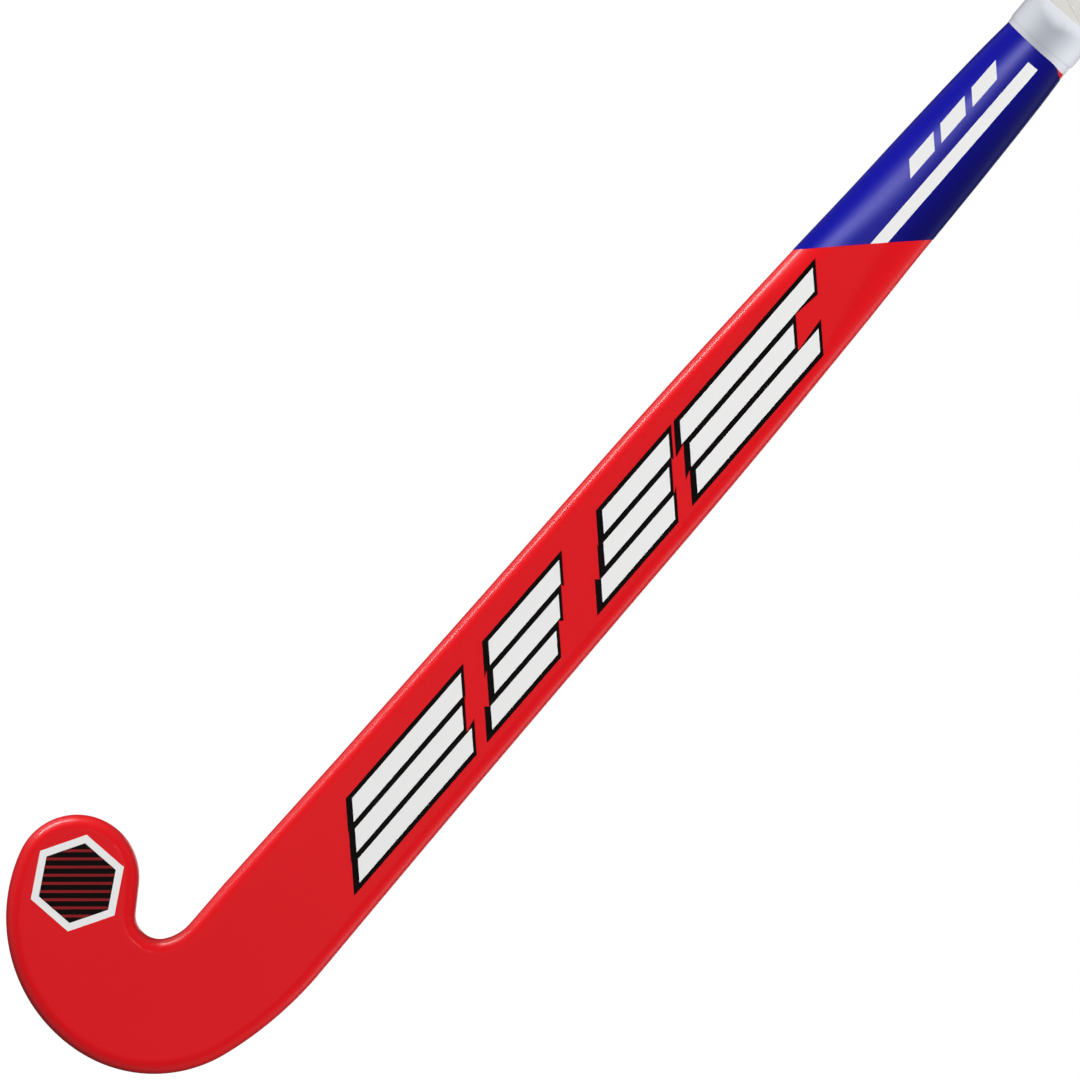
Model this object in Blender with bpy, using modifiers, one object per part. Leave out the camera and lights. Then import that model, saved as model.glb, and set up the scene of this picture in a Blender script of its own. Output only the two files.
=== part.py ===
"""Field hockey stick with a bent, laminated wooden head and a spliced cane handle.

The stick stands upright: +Z runs up the handle, the flat playing face looks along -Y and the
toe points to -X. The origin is on the ground, under the middle of the bounding box.

Every piece is first laid out on the straight stick: x across the face, depth from the face
towards the rounded back, height up the stick from its lowest point. bowed() then bends that
stick to its bow. Metres throughout.
"""

from collections import namedtuple
from math import ceil, cos, pi, radians, sin, sqrt

import bmesh
import bpy
from mathutils import Vector

# ---------------------------------------------------------------- driving dimensions
STICK_LENGTH = 0.9144
GAP = 0.0003
WELD = 1e-6

# The bow: the face is flat up to BOW_START, curved up to BOW_END and straight above it.
BOW_START = 0.200
BOW_END = 0.520
BOW_ANGLE = radians(5.73)
BOW_RADIUS = (BOW_END - BOW_START) / BOW_ANGLE

# Half the width of the shaft, (height, half width).
HALF_WIDTHS = (
    (0.0816, 0.0250), (0.160, 0.0236), (0.248, 0.0226), (0.330, 0.0218), (0.400, 0.0199),
    (0.440, 0.0183), (0.475, 0.0172), (0.510, 0.0157), (0.528, 0.0144), (0.537, 0.0135),
    (0.600, 0.0135),
)
# Front to back, (height, depth), and where the widest line lies behind the face.
DEPTHS = ((0.0816, 0.0215), (0.260, 0.0238), (0.420, 0.0246), (0.530, 0.0260), (0.600, 0.0260))
PARTINGS = ((0.0816, 0.0065), (0.380, 0.0070), (0.460, 0.0100), (0.530, 0.0130), (0.600, 0.0130))
TOE_DEPTH = 0.0195
EDGE_RADIUS = 0.0055
CROWN_START = 0.370
CROWN_END = 0.460
BACK_POWER = 2.4

# The head's outline, walked clockwise from the heel: arcs of (radius, turn in degrees).
HOOK_TOP = HALF_WIDTHS[0][0]
HEEL_UPPER = (0.1456, 17.95)
HEEL = (0.0525, 63.7)
SOLE = (0.0608, 82.1)
TOE_TIP = (0.0237, 161.7)
TOE_FLANK = 0.0109
CROOK = (0.0091, 108.7)
CROOK_UPPER = (0.0176, 36.85)

# Skin and wood.
SKIN = 0.0010
SKIN_TOP = 0.536
WOOD_INSET = SKIN + 0.0004
PLIES = 9
PLY_REACH = 0.985
PLY_STATIONS = 11
PLY_END_STEPS = (0.4, 0.75, 1.0)
SPLICE_TIP = 0.270
SPLICE_MOUTH = 0.500
SPLICE_SHIFT = 0.0023
HALVINGS = 40

# Handle.
CANE_SLIPS = 4
SPRING = 0.0010
HANDLE_HALF_WIDTH = HALF_WIDTHS[-1][1] - WOOD_INSET
HANDLE_HALF_DEPTH = DEPTHS[-1][1] / 2 - WOOD_INSET
HANDLE_TOP = STICK_LENGTH - 0.0045
HANDLE_BENDS = (0.5285, 0.537)
STRIP_STATIONS = 6
BINDING_BUILD = 0.0004
UNDERLAY_BUILD = 0.0008
GRIP_BUILD = 0.0012
LAYERS_START = 0.5375
TAPE_START = 0.5276
TAPE_WIDTH = 0.0164
TAPE_BUILD = 0.0003
CAP_FLANGE = 0.0040
CAP_SKIRT = 0.0160
CAP_RADIUS = 0.0160
CAP_CHAMFER = 0.0012
ROUND_STEPS = 28

# Transfers lie a little clear of the skin.
TRANSFER_LIFT = 0.0002
TRANSFER_BUILD = 0.0002
BLOCK_PITCH = 0.020
BLOCK_PITCH_ACROSS = 0.005
MARK_PITCH = 0.010
MARK_PITCH_ACROSS = 0.002
BLOCK_BORDER = 0.0017
BAR_EDGES = ((-0.0095, -0.0031), (-0.0011, 0.0053), (0.0073, 0.0137))
# Lower and upper end of each block's three bars, toe side first, at the bar's toe-side edge.
BLOCKS = (
    ((0.142, 0.205), (0.134, 0.196), (0.126, 0.192)),
    ((0.221, 0.262), (0.214, 0.252), (0.203, 0.241)),
    ((0.287, 0.3255), (0.278, 0.316), (0.267, 0.309)),
    ((0.332, 0.409), (0.328, 0.388), (0.322, 0.393)),
)
BADGE_CENTRE = (-0.0672, 0.0492)
BADGE_RADIUS = 0.0187
PAINT_LINE = ((-0.0182, 0.4107), (0.0179, 0.4471))
STRIPE_EDGES = (0.0011, 0.0058)
STRIPE_TOP = 0.5215
DASH_EDGES = (-0.0088, -0.0036)
DASHES = ((0.464, 0.478), (0.482, 0.496), (0.500, 0.514))

Rim = namedtuple("Rim", "point outward spine height reach")
Form = namedtuple("Form", "depth parting edge power")


# ---------------------------------------------------------------- the stick's shape
def smooth_value(points, at):
    """Value at a place on the smooth curve through (place, value) points."""
    if at <= points[0][0]:
        return points[0][1]
    if at >= points[-1][0]:
        return points[-1][1]
    index = max(i for i, point in enumerate(points[:-1]) if point[0] <= at)
    (x0, y0), (x1, y1) = points[index], points[index + 1]
    span = x1 - x0
    before = points[index - 1] if index else points[0]
    after = points[index + 2] if index + 2 < len(points) else points[-1]
    slope0 = (y1 - before[1]) / (x1 - before[0])
    slope1 = (after[1] - y0) / (after[0] - x0)
    t = (at - x0) / span
    return ((2 * t**3 - 3 * t**2 + 1) * y0 + (t**3 - 2 * t**2 + t) * span * slope0
            + (3 * t**2 - 2 * t**3) * y1 + (t**3 - t**2) * span * slope1)


def half_width(height):
    return smooth_value(HALF_WIDTHS, height)


def eased(t):
    t = min(1.0, max(0.0, t))
    return t * t * (3 - 2 * t)


def form_at(height, reach):
    """The D section at a height; reach runs from 0 at the top of the hook to 1 at the toe."""
    crown = eased((height - CROWN_START) / (CROWN_END - CROWN_START))
    depth = smooth_value(DEPTHS, height)
    depth += (TOE_DEPTH - depth) * reach
    edge = EDGE_RADIUS + (half_width(height) - EDGE_RADIUS) * crown
    return Form(depth, smooth_value(PARTINGS, height), edge, BACK_POWER + (2.0 - BACK_POWER) * crown)


def front_depth(rho, half, form, inset=0.0):
    """Depth of the front surface; rho is 0 on the centre line and 1 on the outline."""
    run = max(0.0, rho * half - (half - form.edge)) / form.edge
    return form.parting - (form.parting - inset) * sqrt(max(0.0, 1 - run * run))


def back_depth(rho, form, inset=0.0):
    bulge = (1 - min(1.0, rho) ** form.power) ** (1 / form.power)
    return form.parting + (form.depth - form.parting - inset) * bulge


def bowed(x, depth, height):
    """Bend a point of the straight stick to the bow, which is hollow on the face."""
    turn = BOW_ANGLE * min(1.0, max(0.0, (height - BOW_START) / (BOW_END - BOW_START)))
    beyond = min(0.0, height - BOW_START) + max(0.0, height - BOW_END)
    y = -BOW_RADIUS * (1 - cos(turn)) - beyond * sin(turn) + depth * cos(turn)
    z = BOW_START + BOW_RADIUS * sin(turn) + beyond * cos(turn) + depth * sin(turn)
    return Vector((x, y, z))


# ---------------------------------------------------------------- the outline
def walk_arc(start, heading, arc, steps, side=1):
    """Points of an arc from start; side 1 turns clockwise and -1 the other way."""
    radius, turn = arc
    step = radians(turn) / steps * side
    point, trail = Vector(start), []
    for _ in range(steps):
        chord = 2 * radius * sin(abs(step) / 2)
        point = point + chord * Vector((cos(heading - step / 2), sin(heading - step / 2)))
        heading -= step
        trail.append((point, heading))
    return trail


def walk_line(start, heading, length, steps):
    along = Vector((cos(heading), sin(heading)))
    return [(Vector(start) + along * length * i / steps, heading) for i in range(1, steps + 1)]


def hook_trails():
    """The outer side, the toe tip and the inner side of the hook, each as (point, heading)."""
    outer = [(Vector((half_width(HOOK_TOP), HOOK_TOP)), -pi / 2)]
    for arc, steps in ((HEEL_UPPER, 4), (HEEL, 8), (SOLE, 9)):
        outer += walk_arc(*outer[-1], arc, steps)
    tip = walk_arc(*outer[-1], TOE_TIP, 14)
    inner = [tip[-1]]
    inner += walk_line(*inner[-1], TOE_FLANK, 4)
    inner += walk_arc(*inner[-1], CROOK, 10, side=-1)
    inner += walk_arc(*inner[-1], CROOK_UPPER, 4, side=-1)
    inner += walk_line(*inner[-1], HOOK_TOP - inner[-1][0].y, 3)
    return outer, tip[:-1], inner


def rim(point, heading, spine, reach):
    outward = Vector((-sin(heading), cos(heading)))
    return Rim(point, outward, spine, point.y, reach)


def hook_rims():
    """Rims of the hook's outer side, toe tip and inner side, with the toe's centre."""
    outer, tip, inner = hook_trails()
    inner_down = inner[::-1]
    last = len(outer) - 1
    centre = outer[-1][0] - TOE_TIP[0] * Vector((-sin(outer[-1][1]), cos(outer[-1][1])))
    shift = centre - (outer[-1][0] + inner_down[-1][0]) / 2
    outer_rims, inner_rims = [], []
    for i, (out_side, in_side) in enumerate(zip(outer, inner_down)):
        spine = (out_side[0] + in_side[0]) / 2 + shift * eased(i / last)
        outer_rims.append(rim(*out_side, spine, i / last))
        inner_rims.append(rim(*in_side, spine, i / last))
    return outer_rims, [rim(*station, centre, 1.0) for station in tip], inner_rims, centre


def shaft_rim(side, height):
    """Rim of the straight shaft; side is 1 on the heel side and -1 on the toe side."""
    point = Vector((side * half_width(height), height))
    return Rim(point, Vector((side, 0)), Vector((0, height)), height, 0.0)


OUTER_RIMS, TIP_RIMS, INNER_RIMS, TOE_CENTRE = hook_rims()


def lane_point(rim_, rho, inset):
    """Front and back point at rho between a rim's spine and its outline."""
    edge = rim_.point - rim_.outward * inset
    half = (edge - rim_.spine).length
    place = rim_.spine + (edge - rim_.spine) * rho
    form = form_at(rim_.height, rim_.reach)
    front = front_depth(rho, half, form, inset)
    back = back_depth(rho, form, inset)
    return place, front, back


# ---------------------------------------------------------------- meshes and materials
def make_material(name, colour, roughness, metallic=0.0):
    material = bpy.data.materials.new(name)
    material.use_nodes = True
    shader = material.node_tree.nodes["Principled BSDF"]
    shader.inputs["Base Color"].default_value = (*colour, 1.0)
    shader.inputs["Roughness"].default_value = roughness
    shader.inputs["Metallic"].default_value = metallic
    material.diffuse_color = (*colour, 1.0)
    return material


def add_piece(name, mesh, material, parent):
    piece = bpy.data.objects.new(name, mesh)
    piece.parent = parent
    mesh.materials.append(material)
    STICK.objects.link(piece)
    return piece


def mesh_from(name, build):
    """A mesh filled in by build(bm), welded, with its faces pointing out."""
    bm = bmesh.new()
    build(bm)
    bmesh.ops.remove_doubles(bm, verts=bm.verts, dist=WELD)
    bmesh.ops.dissolve_degenerate(bm, edges=bm.edges, dist=WELD)
    bmesh.ops.recalc_face_normals(bm, faces=bm.faces)
    mesh = bpy.data.meshes.new(name)
    bm.to_mesh(mesh)
    bm.free()
    return mesh


def shade_round(mesh, angle=35):
    mesh.shade_smooth()
    mesh.set_sharp_from_angle(angle=radians(angle))


def loft(bm, loops):
    """Join equal loops, front points then back points the other way, into one closed body."""
    rings = [[bm.verts.new(point) for point in loop] for loop in loops]
    count = len(rings[0])
    for ring, following in zip(rings, rings[1:]):
        for i in range(count):
            j = (i + 1) % count
            bm.faces.new((ring[i], ring[j], following[j], following[i]))
    for ring in (rings[0], rings[-1]):
        for i in range(count // 2 - 1):
            bm.faces.new((ring[i], ring[i + 1], ring[count - 2 - i], ring[count - 1 - i]))


# ---------------------------------------------------------------- skin
FRONT_ROWS = (1.0, 0.96, 0.88, 0.78, 0.56, 0.33, 0.0)
BACK_ROWS = (1.0, 0.97, 0.90, 0.78, 0.56, 0.33, 0.0)
SHAFT_HEIGHTS = (SKIN_TOP, 0.528, 0.519, 0.510, 0.495, 0.475, 0.455, 0.435, 0.415, 0.395, 0.370,
                 0.340, 0.305, 0.270, 0.235, 0.200, 0.160, 0.120)


def skin_surface(bm):
    """The painted outer surface, open at the top of the shaft."""
    rims = [shaft_rim(1, height) for height in SHAFT_HEIGHTS]
    rims += OUTER_RIMS + TIP_RIMS + INNER_RIMS[::-1]
    rims += [shaft_rim(-1, height) for height in reversed(SHAFT_HEIGHTS)]
    for rows, front in ((FRONT_ROWS, True), (BACK_ROWS, False)):
        grid = []
        for rim_ in rims:
            column = []
            for rho in rows:
                place, near, far = lane_point(rim_, rho, 0.0)
                column.append(bm.verts.new(bowed(place.x, near if front else far, place.y)))
            grid.append(column)
        for column, following in zip(grid, grid[1:]):
            for j in range(len(rows) - 1):
                bm.faces.new((column[j], column[j + 1], following[j + 1], following[j]))


def add_skin(parent):
    """Glass-fibre sleeve: one thin moulded sock, open where the handle leaves it."""
    mesh = mesh_from("fibreglass_sleeve", skin_surface)
    shade_round(mesh, 50)
    lacquer = make_material("red lacquer", (0.65, 0.02, 0.02), 0.3)
    sleeve = add_piece("fibreglass_sleeve", mesh, lacquer, parent)
    wall = sleeve.modifiers.new("wall", "SOLIDIFY")
    wall.thickness = SKIN
    wall.offset = -1.0
    wall.use_even_offset = True


# ---------------------------------------------------------------- wooden head
def splice_height(offset):
    """Height at which a line at this distance from the centre meets the splice's V."""
    low, high = SPLICE_TIP, SPLICE_MOUTH
    for _ in range(HALVINGS):
        middle = (low + high) / 2
        if splice_half(middle) < offset(middle):
            low = middle
        else:
            high = middle
    return low


def splice_half(height):
    mouth = half_width(SPLICE_MOUTH) - WOOD_INSET
    return mouth * (height - SPLICE_TIP) / (SPLICE_MOUTH - SPLICE_TIP)


def wood_half(height):
    return half_width(height) - WOOD_INSET


def tip_point(lane, fraction):
    """Point past the last section of the hook, on the way to the rounded toe."""
    last = OUTER_RIMS[-1] if lane > 0 else INNER_RIMS[-1]
    start, _, _ = lane_point(last, abs(lane), WOOD_INSET)
    radius = TOE_TIP[0] - WOOD_INSET
    across = (INNER_RIMS[-1].point - OUTER_RIMS[-1].point).normalized()
    along = Vector((-across.y, across.x))
    offset = start - TOE_CENTRE
    slope = offset.dot(along)
    room = max(0.0, slope**2 - offset.length_squared + (PLY_REACH * radius) ** 2)
    run = -slope + sqrt(room)
    place = start + along * run * fraction
    rho = (place - TOE_CENTRE).length / radius
    form = form_at(place.y, 1.0)
    return place, front_depth(rho, radius, form, WOOD_INSET), back_depth(rho, form, WOOD_INSET)


def ply_side(lane):
    """Front and back points down one side of a ply; lane runs from -1 at the crook to 1."""
    side = 1 if lane > 0 else -1
    top = splice_height(lambda height: abs(lane) * wood_half(height)) - SPLICE_SHIFT
    stations = []
    for i in range(PLY_STATIONS):
        height = top + (HOOK_TOP - top) * i / PLY_STATIONS
        stations.append(lane_point(shaft_rim(side, height), abs(lane), WOOD_INSET))
    for rim_ in (OUTER_RIMS if side > 0 else INNER_RIMS):
        stations.append(lane_point(rim_, abs(lane), WOOD_INSET))
    stations += [tip_point(lane, fraction) for fraction in PLY_END_STEPS]
    return stations


def add_plies(parent):
    """Mulberry laminations, bent to the hook together and glued, numbered from the crook."""
    wood = make_material("mulberry", (0.62, 0.45, 0.27), 0.6)
    glue = GAP / 2 / HALF_WIDTHS[0][1]
    for index in range(PLIES):
        low = 2 * index / PLIES - 1 + glue
        high = 2 * (index + 1) / PLIES - 1 - glue
        low, high = max(low, -PLY_REACH), min(high, PLY_REACH)
        lanes = [ply_side(low), ply_side((low + high) / 2), ply_side(high)]
        loops = []
        for stations in zip(*lanes):
            fronts = [bowed(place.x, near, place.y) for place, near, _ in stations]
            backs = [bowed(place.x, far, place.y) for place, _, far in stations]
            loops.append(fronts + backs[::-1])
        mesh = mesh_from(f"head_ply_{index + 1}", lambda bm: loft(bm, loops))
        shade_round(mesh)
        add_piece(mesh.name, mesh, wood, parent)


# ---------------------------------------------------------------- spliced handle
def handle_side(x, rim_side):
    """Points up one side of a handle strip; rim_side follows the outside of the handle."""
    def offset(height):
        return PLY_REACH * wood_half(height) if rim_side else abs(x)

    def across(height):
        return (1 if x > 0 else -1) * offset(height)

    cut = splice_height(offset) + SPLICE_SHIFT
    heights = [cut + (BOW_END - cut) * i / STRIP_STATIONS for i in range(STRIP_STATIONS + 1)]
    heights += [*HANDLE_BENDS, HANDLE_TOP]
    stations = []
    for height in heights:
        rho = offset(height) / wood_half(height)
        form = form_at(height, 0.0)
        near = front_depth(rho, wood_half(height), form, WOOD_INSET)
        far = back_depth(rho, form, WOOD_INSET)
        stations.append((bowed(across(height), near, height), bowed(across(height), far, height)))
    return stations


def add_strip(name, low, high, rims, material, parent):
    """One strip of the handle between two x places, its foot cut to the splice's V."""
    middle = (low + high) / 2
    sides = [handle_side(low, rims[0]), handle_side(high, rims[1])]
    if abs(middle) > SPRING:
        sides.insert(1, handle_side(middle, False))
    loops = []
    for stations in zip(*sides):
        loops.append([near for near, _ in stations] + [far for _, far in reversed(stations)])
    mesh = mesh_from(name, lambda bm: loft(bm, loops))
    shade_round(mesh)
    add_piece(name, mesh, material, parent)


def add_handle(parent):
    """Cane slips with rubber springs glued between them, spliced into the head as one wedge."""
    cane = make_material("cane", (0.70, 0.55, 0.32), 0.65)
    rubber = make_material("spring rubber", (0.04, 0.04, 0.045), 0.8)
    springs = CANE_SLIPS - 1
    slip = (2 * HANDLE_HALF_WIDTH - springs * (SPRING + 2 * GAP)) / CANE_SLIPS
    pitch = slip + SPRING + 2 * GAP
    for index in range(CANE_SLIPS):
        low = -HANDLE_HALF_WIDTH + index * pitch
        rims = (index == 0, index == CANE_SLIPS - 1)
        add_strip(f"cane_slip_{index + 1}", low, low + slip, rims, cane, parent)
        if index < springs:
            left = low + slip + GAP
            add_strip(f"rubber_spring_{index + 1}", left, left + SPRING, (False, False), rubber, parent)


# ---------------------------------------------------------------- grip
def turned(name, profile, material, parent, closed=True):
    """Turn a profile of (radius, height) about the handle's axis and flatten it to the oval."""
    mesh = bpy.data.meshes.new(name)
    count = len(profile)
    edges = [(i, i + 1) for i in range(count - 1)] + ([(count - 1, 0)] if closed else [])
    mesh.from_pydata([(radius, 0, height - BOW_END) for radius, height in profile], edges, [])
    piece = add_piece(name, mesh, material, parent)
    piece.scale.y = HANDLE_HALF_DEPTH / HANDLE_HALF_WIDTH
    screw = piece.modifiers.new("turn", "SCREW")
    screw.steps = screw.render_steps = ROUND_STEPS
    screw.use_merge_vertices = True
    screw.merge_threshold = WELD
    screw.use_smooth_shade = True
    return piece


def layer_profile(inside, build, high):
    """Profile of a plain layer, run down its outer side and up its inner side."""
    outside = inside + build
    return [(outside, high), (outside, LAYERS_START), (inside, LAYERS_START), (inside, high)]


def add_grip(parent):
    """Binding, underlay, grip, finishing tape and butt cap, from the inside out."""
    twine = make_material("binding twine", (0.55, 0.50, 0.40), 0.8)
    foam = make_material("underlay foam", (0.16, 0.16, 0.17), 0.9)
    cream = make_material("cream grip", (0.60, 0.58, 0.54), 0.6)
    tape = make_material("white tape", (0.55, 0.57, 0.62), 0.4)
    butt = make_material("cap rubber", (0.58, 0.56, 0.52), 0.6)

    cap_low = STICK_LENGTH - CAP_FLANGE - CAP_SKIRT
    layers_end = cap_low - GAP
    binding = HANDLE_HALF_WIDTH + GAP
    turned("handle_binding", layer_profile(binding, BINDING_BUILD, layers_end), twine, parent)
    underlay = binding + BINDING_BUILD + GAP
    turned("grip_underlay", layer_profile(underlay, UNDERLAY_BUILD, layers_end), foam, parent)
    grip = underlay + UNDERLAY_BUILD + GAP
    grip_end = STICK_LENGTH - CAP_FLANGE - GAP
    turned("grip_wrap", layer_profile(grip, GRIP_BUILD, grip_end), cream, parent)

    tape_top = TAPE_START + TAPE_WIDTH
    tape_low_radius = half_width(TAPE_START) + GAP
    tape_high_radius = grip + GRIP_BUILD + GAP
    tape_profile = [
        (tape_high_radius + TAPE_BUILD, tape_top), (tape_high_radius + TAPE_BUILD, LAYERS_START),
        (tape_low_radius + TAPE_BUILD, TAPE_START), (tape_low_radius, TAPE_START),
        (tape_high_radius, LAYERS_START), (tape_high_radius, tape_top),
    ]
    turned("finishing_tape", tape_profile, tape, parent)

    skirt_inside = binding
    skirt_outside = grip - GAP
    pocket = HANDLE_TOP + GAP
    cap_profile = [
        (0, STICK_LENGTH), (CAP_RADIUS - CAP_CHAMFER, STICK_LENGTH),
        (CAP_RADIUS, STICK_LENGTH - CAP_CHAMFER), (CAP_RADIUS, STICK_LENGTH - CAP_FLANGE),
        (skirt_outside, STICK_LENGTH - CAP_FLANGE), (skirt_outside, cap_low),
        (skirt_inside, cap_low), (skirt_inside, pocket), (0, pocket),
    ]
    turned("butt_cap", cap_profile, butt, parent, closed=False)


# ---------------------------------------------------------------- transfers
def face_point(x, height, lift):
    """A point lifted clear of the front surface of the shaft."""
    half = half_width(height)
    near = front_depth(abs(x) / half, half, form_at(height, 0.0))
    return bowed(x, near - lift, height)


def film(outline, across_cuts, up_cuts):
    """A build function for a thin film of this outline, laid on the front of the shaft."""
    def build(bm):
        bm.faces.new([bm.verts.new((x, 0, height)) for x, height in outline])
        for cut in across_cuts:
            parts = list(bm.verts) + list(bm.edges) + list(bm.faces)
            bmesh.ops.bisect_plane(bm, geom=parts, plane_co=(cut, 0, 0), plane_no=(1, 0, 0))
        for cut in up_cuts:
            parts = list(bm.verts) + list(bm.edges) + list(bm.faces)
            bmesh.ops.bisect_plane(bm, geom=parts, plane_co=(0, 0, cut), plane_no=(0, 0, 1))
        sheet = list(bm.verts)
        outside = bmesh.ops.extrude_face_region(bm, geom=list(bm.faces), use_keep_orig=True)
        lifted = [part for part in outside["geom"] if isinstance(part, bmesh.types.BMVert)]
        for vert in sheet:
            vert.co = face_point(vert.co.x, vert.co.z, TRANSFER_LIFT)
        for vert in lifted:
            vert.co = face_point(vert.co.x, vert.co.z, TRANSFER_LIFT + TRANSFER_BUILD)
    return build


def block_outline(bars):
    """Stepped outline of three bordered bars whose ends slant down towards the heel."""
    lower, upper = [], []
    for (left, right), (foot, head) in zip(BAR_EDGES, bars):
        left, right = left - BLOCK_BORDER, right + BLOCK_BORDER
        fall = right - left
        lower += [(left, foot - BLOCK_BORDER), (right, foot - BLOCK_BORDER - fall)]
        upper += [(left, head + 2 * BLOCK_BORDER), (right, head + 2 * BLOCK_BORDER - fall)]
    return lower + upper[::-1]


def paint_line_height(x):
    (x0, z0), (x1, z1) = PAINT_LINE
    return z0 + (z1 - z0) * (x - x0) / (x1 - x0)


def cuts_between(low, high, pitch):
    count = ceil((high - low) / pitch)
    return [low + (high - low) * i / count for i in range(1, count)]


def add_transfers(parent):
    """Printed transfers under the lacquer: toe badge, four shaft blocks, neck stripe and dashes."""
    black = make_material("black print", (0.02, 0.02, 0.02), 0.3)
    white = make_material("white print", (0.80, 0.80, 0.80), 0.3)

    for index, bars in enumerate(BLOCKS):
        outline = block_outline(bars)
        places = [x for x, _ in outline]
        heights = [height for _, height in outline]
        build = film(outline, cuts_between(min(places), max(places), BLOCK_PITCH_ACROSS),
                     cuts_between(min(heights), max(heights), BLOCK_PITCH))
        name = f"shaft_transfer_{index + 1}"
        add_piece(name, mesh_from(name, build), black, parent)

    bm = bmesh.new()
    bmesh.ops.create_cone(bm, cap_ends=True, segments=6, radius1=BADGE_RADIUS, radius2=BADGE_RADIUS,
                          depth=TRANSFER_BUILD)
    badge_mesh = bpy.data.meshes.new("toe_transfer")
    bm.to_mesh(badge_mesh)
    bm.free()
    badge = add_piece("toe_transfer", badge_mesh, white, parent)
    badge.location = (BADGE_CENTRE[0], -TRANSFER_LIFT - TRANSFER_BUILD / 2, BADGE_CENTRE[1])
    badge.rotation_euler = (pi / 2, 0, 0)

    left, right = STRIPE_EDGES
    stripe = [(left, paint_line_height(left)), (right, paint_line_height(right)),
              (right, STRIPE_TOP), (left, STRIPE_TOP)]
    build = film(stripe, cuts_between(left, right, MARK_PITCH_ACROSS),
                 cuts_between(paint_line_height(left), STRIPE_TOP, MARK_PITCH))
    add_piece("neck_stripe", mesh_from("neck_stripe", build), white, parent)

    left, right = DASH_EDGES
    for index, (foot, head) in enumerate(DASHES):
        fall = right - left
        outline = [(left, foot), (right, foot - fall), (right, head - fall), (left, head)]
        build = film(outline, cuts_between(left, right, MARK_PITCH_ACROSS),
                     cuts_between(foot - fall, head, MARK_PITCH))
        name = f"neck_dash_{index + 1}"
        add_piece(name, mesh_from(name, build), white, parent)


# ---------------------------------------------------------------- assembly
def stand_on_origin(frame):
    """Move the whole stick so the middle of its base lies on the origin."""
    bpy.context.view_layer.update()
    graph = bpy.context.evaluated_depsgraph_get()
    corners = []
    for piece in STICK.objects:
        if piece.type == "MESH":
            solid = piece.evaluated_get(graph)
            corners += [solid.matrix_world @ vert.co for vert in solid.data.vertices]
    low = Vector([min(corner[axis] for corner in corners) for axis in range(3)])
    high = Vector([max(corner[axis] for corner in corners) for axis in range(3)])
    frame.location = (-(low.x + high.x) / 2, -(low.y + high.y) / 2, -low.z)


def add_empty(name, parent=None):
    empty = bpy.data.objects.new(name, None)
    empty.parent = parent
    STICK.objects.link(empty)
    return empty


for leftover in list(bpy.data.objects):
    bpy.data.objects.remove(leftover, do_unlink=True)
STICK = bpy.data.collections.new("field_hockey_stick")
bpy.context.scene.collection.children.link(STICK)

stick_frame = add_empty("stick_frame")
handle_axis = add_empty("handle_axis", stick_frame)
handle_axis.location = bowed(0, DEPTHS[-1][1] / 2, BOW_END)
handle_axis.rotation_euler = (BOW_ANGLE, 0, 0)

add_plies(stick_frame)
add_handle(stick_frame)
add_skin(stick_frame)
add_grip(handle_axis)
add_transfers(stick_frame)
stand_on_origin(stick_frame)
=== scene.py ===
from collections import namedtuple
from math import cos, pi, radians, sin, sqrt, tau

import bmesh
import bpy
from mathutils import Matrix, Vector


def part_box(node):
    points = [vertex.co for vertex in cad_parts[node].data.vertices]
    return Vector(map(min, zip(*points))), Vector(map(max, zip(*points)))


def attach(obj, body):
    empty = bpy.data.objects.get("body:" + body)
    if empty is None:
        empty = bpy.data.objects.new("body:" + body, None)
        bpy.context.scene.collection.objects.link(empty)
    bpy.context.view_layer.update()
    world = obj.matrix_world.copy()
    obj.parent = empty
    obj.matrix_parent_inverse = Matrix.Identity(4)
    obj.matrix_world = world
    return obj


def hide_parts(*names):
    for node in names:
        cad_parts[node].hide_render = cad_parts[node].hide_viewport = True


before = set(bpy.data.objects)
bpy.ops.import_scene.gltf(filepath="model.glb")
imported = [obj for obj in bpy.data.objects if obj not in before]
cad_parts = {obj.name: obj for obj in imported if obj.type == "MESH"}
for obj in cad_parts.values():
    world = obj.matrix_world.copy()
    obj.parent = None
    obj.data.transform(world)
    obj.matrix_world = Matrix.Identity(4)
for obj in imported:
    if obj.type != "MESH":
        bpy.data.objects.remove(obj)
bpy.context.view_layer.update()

# ---- Ground, light and camera --------------------------------------------------------------
# A pale floor that runs into a white surround, soft lights all round the stick, narrow ones that
# draw the shine on the neck and along the toe-side edge, and a long lens square to the face.
TRANSFER_LIFT = 0.0002
SHAFT_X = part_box("butt_cap")[0].x + (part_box("butt_cap")[1].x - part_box("butt_cap")[0].x) / 2
FACE_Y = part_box("toe_transfer")[1].y + TRANSFER_LIFT

ROOM_TURNS, ROOM_LEVELS = (0.15, 0.62), (0.20, 0.06)

scene = bpy.context.scene
scene.view_settings.view_transform = "Standard"
scene.view_settings.look = "None"


def shader_material(name, roughness=0.5, coat=0.0, coat_roughness=0.1):
    """A Principled material with its uniform values on the shader's own sockets."""
    material = bpy.data.materials.new(name)
    material.use_nodes = True
    shader = material.node_tree.nodes["Principled BSDF"]
    shader.inputs["Roughness"].default_value = roughness
    shader.inputs["Coat Weight"].default_value = coat
    shader.inputs["Coat Roughness"].default_value = coat_roughness
    return material, material.node_tree, shader


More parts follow.
